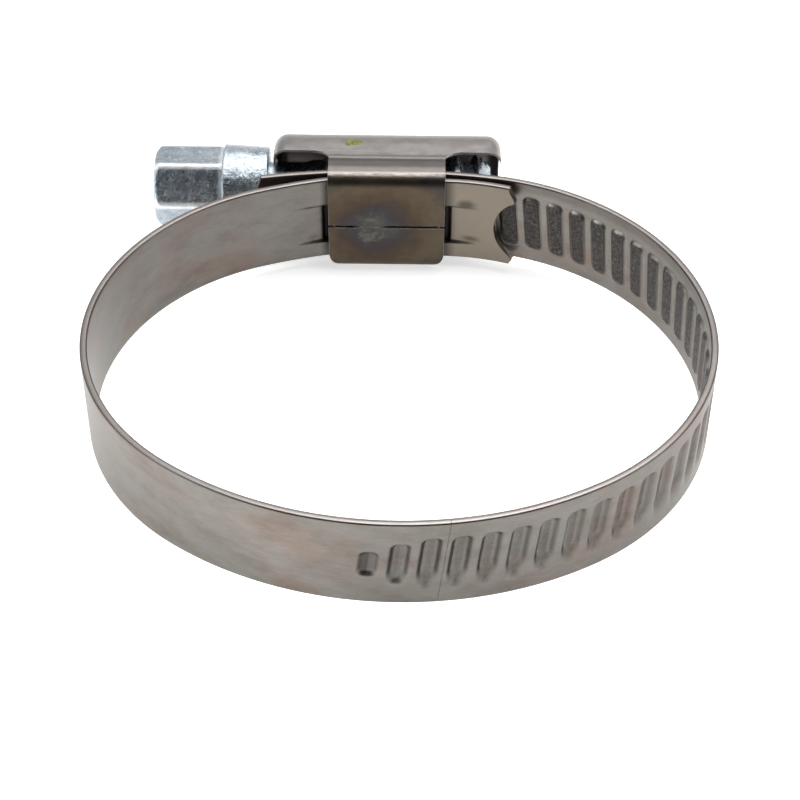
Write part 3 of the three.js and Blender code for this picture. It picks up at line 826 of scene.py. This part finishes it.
def rolled_end(side, lip_radius):
    """(x, inset) of the dome's columns from the waist to one end, which is rolled in to a lip."""
    flat_end = HOUSING_HALF_LENGTH - CURL_RADIUS
    columns = [(x, 0.0) for x in np.linspace(WIDE, flat_end, 6)[1:]]
    for turn in np.linspace(0, math.pi / 2, 9)[1:]:
        inset = CURL_RADIUS * (1 - math.cos(turn))
        columns.append((flat_end + CURL_RADIUS * math.sin(turn), inset))
    for inset in np.linspace(CURL_RADIUS, DOME_RADIUS - lip_radius, 4)[1:]:
        columns.append((HOUSING_HALF_LENGTH, inset))
    return [(side * x, inset) for x, inset in columns]


def dome_half(line, along):
    """One side of the dome down to its lower edge, and where the waist begins along the line."""
    left = rolled_end(-1, LEFT_LIP_RADIUS)[::-1]
    right = rolled_end(1, RIGHT_LIP_RADIUS)
    waist = [(x, 0.0) for x in WAIST_COLUMNS]
    x, inset = np.array([*left, *waist, *right]).T
    edge_y = LEFT_LINE + (RIGHT_LINE - LEFT_LINE) * smooth((x + WIDE) / (2 * WIDE))
    down = line[: -FLAP_STEPS - 1, 0]
    order = np.argsort(down)
    last = np.interp(edge_y, down[order], along[: len(down)][order])
    places = place_on(line, along, last[:, None] * np.linspace(0, 1, DOME_ROWS))
    axis = np.array([SCREW_Y, 0])
    reach = np.linalg.norm(places - axis, axis=-1, keepdims=True)
    pulled = axis + (places - axis) * (1 - inset[:, None, None] / reach)
    columns = np.broadcast_to(x[:, None, None], (len(x), DOME_ROWS, 1))
    return np.concatenate([columns, pulled], -1), last[len(left) : len(left) + len(waist)]


def waist_half(sign, line, along, first):
    """One side of the waist down to the seam, and where it gets a painted highlight on the fold and
    painted shade on the side wall's top.
    """
    total = along[-1]
    t = first[:, None] + (total - first[:, None]) * np.linspace(0, 1, WAIST_ROWS)
    places = place_on(line, along, t)
    y = places[..., 0]
    top = np.where(WAIST_COLUMNS > 0, RIGHT_LINE, LEFT_LINE)[:, None]
    fall = np.clip(top - y, 0, FILLET_RADIUS)
    fillet = FILLET_RADIUS - np.sqrt(FILLET_RADIUS**2 - (FILLET_RADIUS - fall) ** 2)
    on_flap = t > total - (WALL - SEAM_Z)
    half_length = WAIST_HALF_LENGTH + np.where(on_flap, 0, fillet)
    if sign < 0:
        # The lower fold's corners are round.
        bend = np.clip((places[..., 1] + WALL) / FOLD_CORNER, 0, 1)
        corner = FOLD_CORNER * (1 - np.sqrt(1 - (1 - bend) ** 2))
        half_length = half_length - np.where(y < FLAP_Y + FOLD_RADIUS + 0.6, corner, 0)
    x = WAIST_COLUMNS[:, None] / WIDE * half_length

    # The seam is closed by its welds, and its upper lip is uneven elsewhere.
    seam_x = x[:, -1]
    closed = smooth(1.6 - np.abs(seam_x - WELDS[0][0]) / 1.1)
    pull = closed * (SEAM_GAP - WELDED_GAP) / 2
    if sign > 0:
        pull += (1 - closed) * SEAM_RAGGED * np.sin(seam_x * 3.1) * np.sin(seam_x * 7.7)
    places[:, -1, 1] -= sign * pull
    # fold is a painted highlight along the fold; wall is painted shade on the side wall's top.
    fold = smooth((y - FLAP_Y - 0.45) / 0.45) * smooth((1.0 - y) / 0.7)
    wall = smooth((y - 0.3) / 0.6) * smooth((2.9 - y) / 0.9)
    return np.concatenate([x[..., None], places], -1), fold, wall


def add_sheet(bm, layers, sign, points, fold, wall):
    """Adds a grid of points and its looks to the housing's surface."""
    columns, rows, _ = points.shape
    made = []
    for i, j in np.ndindex(columns, rows):
        vertex = bm.verts.new((points[i, j] + ORIGIN) * MM)
        vertex[layers["along"]] = (points[i, j, 0], sign * j * ROW_SPACING, 0)
        vertex[layers["fold"]] = fold[i, j]
        vertex[layers["wall"]] = wall[i, j]
        made.append(vertex)
    for i, j in np.ndindex(columns - 1, rows - 1):
        a, b = i * rows + j, (i + 1) * rows + j
        corners = [made[k] for k in (a, b, b + 1, a + 1)]
        face = bm.faces.new(corners if sign > 0 else corners[::-1])
        face.smooth = True


def make_housing(material, rim_material):
    """The bent sheet: two halves of a surface, joined on the dome's top and given thickness."""
    bm = bmesh.new()
    layers = {
        "along": bm.verts.layers.float_vector.new("along"),
        "fold": bm.verts.layers.float.new("fold"),
        "wall": bm.verts.layers.float.new("wall"),
    }
    for sign in (-1, 1):
        line = housing_side(sign)
        along = np.r_[0, np.cumsum(np.hypot(*np.diff(line, axis=0).T))]
        dome, first = dome_half(line, along)
        no_looks = np.zeros(dome.shape[:2])
        add_sheet(bm, layers, sign, dome, no_looks, no_looks)
        add_sheet(bm, layers, sign, *waist_half(sign, line, along, first))
    bmesh.ops.remove_doubles(bm, verts=bm.verts, dist=0.004 * MM)
    bmesh.ops.dissolve_degenerate(bm, edges=bm.edges, dist=0.002 * MM)
    bmesh.ops.recalc_face_normals(bm, faces=bm.faces)
    top = max(bm.faces, key=lambda face: face.calc_center_median().y)
    if top.normal.y < 0:
        bmesh.ops.reverse_faces(bm, faces=bm.faces)
    mesh = bpy.data.meshes.new("housing_sheet")
    bm.to_mesh(mesh)
    bm.free()
    piece = linked("housing_sheet", mesh)
    mesh.materials.append(material)
    mesh.materials.append(rim_material)
    solidify = piece.modifiers.new("thickness", "SOLIDIFY")
    solidify.thickness = SHEET * MM
    solidify.offset = -1
    solidify.use_even_offset = True
    solidify.thickness_clamp = 1.0
    solidify.material_offset_rim = 1
    bevel = piece.modifiers.new("rounding", "BEVEL")
    bevel.width = RIM_ROUND * MM
    bevel.material = 1
    bevel.segments = 2
    bevel.limit_method = "ANGLE"
    bevel.angle_limit = math.radians(50)
    bevel.harden_normals = True
    applied(piece)
    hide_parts("housing")
    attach(piece, "housing")


# ------------------------------------------------------------------ the screw
HEX_FLAT = 3.5  # from the axis to a flat
HEX_LENGTH = 6.7
HEX_TURN = math.radians(54.5)  # the first corner, from +Y towards +Z
HEX_SHARPNESS = 44  # how square the worn corners are
HEX_CORNER = HEX_FLAT / math.cos(math.pi / 6)
HEX_END = 0.9  # the stretch at each end of the hexagon that holds its chamfer
CHAMFER_SHARPNESS = 14
COLLAR_RADIUS = 4.18
COLLAR_LENGTH = 4.4
COLLAR_TAPER = 0.25
COLLAR_EDGE = 0.12
HEAD_RIGHT_X = -11.62
HEX_RIGHT_X = HEAD_RIGHT_X - COLLAR_LENGTH
HEX_LEFT_X = HEX_RIGHT_X - HEX_LENGTH
THREAD_LEFT_X = -7.4
THREAD_RIGHT_X = 10.1
THREAD_FADE = 1.4
NECK_STEP = 0.6
CREST_WIDTH = 0.5
ROOT_WIDTH = 1.35
SHAFT_STEP = 0.09
HEAD_STEPS = 360
SHAFT_STEPS = 120


def around(steps):
    return np.arange(steps) / steps * 2 * math.pi


def hexagon(theta):
    """Distance from the axis to a hexagon with slightly rounded corners."""
    flats = HEX_TURN + math.pi / 6 + np.arange(6) * math.pi / 3
    cosines = np.maximum(np.cos(theta[..., None] - flats), 0)
    return HEX_FLAT / (cosines**HEX_SHARPNESS).sum(-1) ** (1 / HEX_SHARPNESS)


def screw_head(x, theta):
    """Distance from the axis to the hexagon's chamfered surface, at x along the screw."""
    left_chamfer = HEX_CORNER - 0.62 + 1.25 * (x - HEX_LEFT_X)
    right_chamfer = HEX_CORNER - 0.35 + 0.9 * (HEX_RIGHT_X - x)
    limit = np.minimum(left_chamfer, right_chamfer)
    both = np.exp(-hexagon(theta) * CHAMFER_SHARPNESS) + np.exp(-limit * CHAMFER_SHARPNESS)
    return -np.log(both) / CHAMFER_SHARPNESS


def worm_radius(x, theta):
    """Distance from the axis to the threaded shaft's surface."""
    phase = (x / PITCH - (theta - math.pi) / (2 * math.pi) + 0.5) % 1 - 0.5
    across = np.abs(phase) * PITCH
    height = np.clip((ROOT_WIDTH / 2 - across) / ((ROOT_WIDTH - CREST_WIDTH) / 2), 0, 1)
    fade = smooth((x - THREAD_LEFT_X) / THREAD_FADE) * smooth((THREAD_RIGHT_X - x) / THREAD_FADE)
    thread = CORE_RADIUS + (THREAD_RADIUS - CORE_RADIUS) * smooth(height * 0.9 + 0.05) * fade
    step = smooth((x - THREAD_LEFT_X) / NECK_STEP + 1)
    neck = NECK_RADIUS + (CORE_RADIUS - NECK_RADIUS) * step
    tip = CORE_RADIUS - 0.5 + 1.2 * (THREAD_RIGHT_X - x)
    return np.minimum(np.where(x < THREAD_LEFT_X, neck, thread), tip)


def revolved(name, stations, radii, wear_and_highlight, material):
    """A closed body round the screw's axis; radii has one row of distances for each station."""
    theta = around(radii.shape[1])
    x = np.broadcast_to(stations[:, None], radii.shape)
    points = np.stack([x, SCREW_Y + radii * np.cos(theta), radii * np.sin(theta)], -1)
    piece = grid_piece(name, points, {"edge": wear_and_highlight})
    finish_piece(piece, material)
    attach(piece, "screw")
    return piece


def make_screw(material):
    """The hexagon and its collar as one piece, and the threaded shaft as another."""
    theta = around(HEAD_STEPS)
    fine = np.linspace(0, 1, 12) * HEX_END
    middle = np.linspace(HEX_LEFT_X + HEX_END, HEX_RIGHT_X - HEX_END, 20)[1:-1]
    hex_x = np.r_[HEX_LEFT_X, HEX_LEFT_X + fine, middle, HEX_RIGHT_X - HEX_END + fine]
    hex_radii = screw_head(hex_x[:, None], theta)
    hex_radii[0] -= 0.1
    # Partly wear, partly a painted highlight: the hexagon's corners and its right end are lighter.
    corner_wear_and_highlight = smooth((hexagon(theta) - HEX_CORNER + 0.24) / 0.12) * 0.8
    end_wear_and_highlight = smooth((hex_x[:, None] - HEX_RIGHT_X + 0.55) / 0.3) * 0.5
    hex_wear_and_highlight = np.maximum(corner_wear_and_highlight, end_wear_and_highlight)

    right_radius = COLLAR_RADIUS - COLLAR_TAPER
    collar = [
        (0.0, COLLAR_RADIUS - COLLAR_EDGE),
        (0.05, COLLAR_RADIUS - 0.03),
        (COLLAR_EDGE, COLLAR_RADIUS),
    ]
    for distance in np.linspace(COLLAR_EDGE * 2, COLLAR_LENGTH - COLLAR_EDGE, 14):
        collar.append((distance, COLLAR_RADIUS - COLLAR_TAPER * distance / COLLAR_LENGTH))
    collar += [
        (COLLAR_LENGTH - 0.04, right_radius - 0.03),
        (COLLAR_LENGTH, right_radius - COLLAR_EDGE),
        (COLLAR_LENGTH, NECK_RADIUS),
    ]
    distances, collar_radii = np.array(collar).T
    collar_radii = np.repeat(collar_radii[:, None], HEAD_STEPS, axis=1)
    head_x = np.r_[hex_x, HEX_RIGHT_X + distances]
    head_radii = np.r_[hex_radii, collar_radii]
    head_wear_and_highlight = np.r_[hex_wear_and_highlight, np.zeros(collar_radii.shape)]
    revolved("screw_head", head_x, head_radii, head_wear_and_highlight, material)

    shaft_x = np.arange(HEAD_RIGHT_X + 0.2, THREAD_RIGHT_X, SHAFT_STEP)
    shaft_x = np.r_[HEAD_RIGHT_X - 0.5, shaft_x, THREAD_RIGHT_X]
    shaft = worm_radius(shaft_x[:, None], around(SHAFT_STEPS))
    piece = revolved("screw_worm", shaft_x, shaft, np.zeros(shaft.shape), material)
    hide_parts("worm_screw")


# ------------------------------------------------------------------ camera, lights, floor
LOOK_AT = (0.124, -8.423, 5.45)
CAMERA_DISTANCE = 169.554
CAMERA_ELEVATION = math.radians(42.13)
CAMERA_AZIMUTH = math.radians(0.394)
CAMERA_ROLL = math.radians(0.391)
LENS = 87.66
SENSOR = 36

SKY = 0.6
DARK_SIDE = (0, -0.74, 0.67)  # the unlit side of the room
FLOOR_GLOW = 0.58
FLOOR_SIZE = 3.0  # metres, from the middle to each side
FLOOR_DROP = 0.0002  # metres
# Name, place, target and size in metres, and power in watts.
LIGHTS = (
    ("key", (0.05, 0.12, 0.42), (0, 0, 0), 0.30, 1.5),
    ("left", (-0.40, -0.12, 0.16), (0, 0, 0.005), 0.22, 0.6),
    ("right", (0.40, -0.05, 0.22), (0, 0, 0.005), 0.25, 0.5),
)


def make_camera():
    e, a, r = CAMERA_ELEVATION, CAMERA_AZIMUTH, CAMERA_ROLL
    back = Vector((math.sin(a) * math.cos(e), -math.cos(a) * math.cos(e), math.sin(e)))
    right = Vector((math.cos(a), math.sin(a), 0))
    up = back.cross(right)
    rolled_right = right * math.cos(r) + up * math.sin(r)
    rolled_up = up * math.cos(r) - right * math.sin(r)
    data = bpy.data.cameras.new("camera")
    data.lens = LENS
    data.sensor_width = SENSOR
    data.clip_start = 0.005
    data.clip_end = 20
    camera = linked("camera", data)
    matrix = Matrix((rolled_right, rolled_up, back)).transposed().to_4x4()
    matrix.translation = (Vector(LOOK_AT) + back * CAMERA_DISTANCE) * MM
    camera.matrix_world = matrix
    scene.camera = camera


def area_light(name, place, target, size, power):
    data = bpy.data.lights.new(name, "AREA")
    data.energy = power
    data.size = size
    light = linked(name, data)
    light.location = place
    light.rotation_euler = (Vector(target) - Vector(place)).to_track_quat("-Z", "Y").to_euler()


def floor_material():
    material, tree, shader = new_material("pale_floor")
    here = node(tree, "ShaderNodeTexCoord").outputs["Object"]
    cloud = noise(tree, here, 30, 2)
    body = ramp(tree, cloud, (0.3, grey(0.93)), (0.7, grey(0.95)))
    tree.links.new(body, shader.inputs["Base Color"])
    shader.inputs["Roughness"].default_value = 0.9
    shader.inputs["Emission Color"].default_value = (1, 1, 1, 1)
    shader.inputs["Emission Strength"].default_value = FLOOR_GLOW
    return material


def make_floor():
    bm = bmesh.new()
    bmesh.ops.create_grid(bm, x_segments=2, y_segments=2, size=FLOOR_SIZE)
    mesh = bpy.data.meshes.new("floor")
    bm.to_mesh(mesh)
    bm.free()
    mesh.materials.append(floor_material())
    floor = linked("floor", mesh)
    floor.location = (0, 0, -FLOOR_DROP)


def make_sky():
    """An even pale room with one dark side, which the steel reflects."""
    world = bpy.data.worlds.new("sky")
    scene.world = world
    world.use_nodes = True
    tree = world.node_tree
    background = tree.nodes["Background"]
    background.inputs["Strength"].default_value = SKY
    towards = node(tree, "ShaderNodeVectorMath", operation="DOT_PRODUCT")
    tree.links.new(node(tree, "ShaderNodeTexCoord").outputs["Generated"], towards.inputs[0])
    towards.inputs[1].default_value = DARK_SIDE
    shaded = ramp(tree, towards.outputs["Value"], (0.58, grey(1)), (0.86, grey(0.015)))
    tree.links.new(shaded, background.inputs["Color"])


make_camera()
make_band(band_steel())
make_housing(housing_steel(), rim_steel())
make_screw(zinc_plating())
make_floor()
make_sky()
for light in LIGHTS:
    area_light(*light)
scene.view_settings.view_transform = "Standard"
